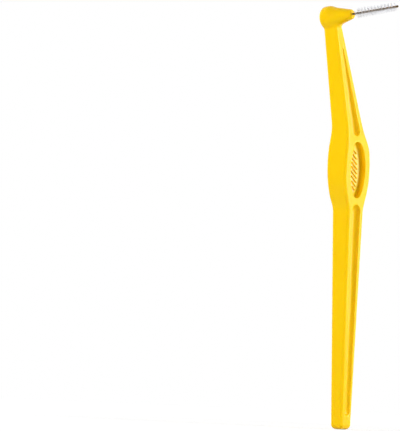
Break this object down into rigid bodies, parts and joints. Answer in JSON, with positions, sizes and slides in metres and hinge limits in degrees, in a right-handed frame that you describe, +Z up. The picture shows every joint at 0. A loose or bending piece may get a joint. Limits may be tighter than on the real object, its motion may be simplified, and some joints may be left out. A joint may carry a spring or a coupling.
{
  "type": "interdental brush",
  "caption": "Interdental brush: a long tapered moulded handle with an oval thumb rest and grooves, a leaning neck, and a drum-shaped head with a tapered nose that holds a twisted wire brush pointing forward.",
  "frame": {"origin": "middle of the small flat at the tail end of the handle", "axes": "+Z up the flat front of the grip towards the head, +X out of that front, the way the thumb rest and the brush face, +Y across the handle, which mirrors about Y = 0"},
  "size_m": [0.0306, 0.0142, 0.1429],
  "materials": {
    "handle_plastic": "satin moulded polypropylene, yellow right through",
    "wire_steel": "drawn stainless wire with a thin bonded plastic coat",
    "filament_nylon": "clear drawn nylon"
  },
  "bodies": {
    "root": {"handle": "handle_plastic", "core_wire": "wire_steel", "filament_fan_01": "filament_nylon", "filament_fan_02": "filament_nylon", "filament_fan_03": "filament_nylon", "filament_fan_04": "filament_nylon", "filament_fan_05": "filament_nylon", "filament_fan_06": "filament_nylon", "filament_fan_07": "filament_nylon", "filament_fan_08": "filament_nylon", "filament_fan_09": "filament_nylon", "filament_fan_10": "filament_nylon", "filament_fan_11": "filament_nylon", "filament_fan_12": "filament_nylon"}
  },
  "joints": []
}
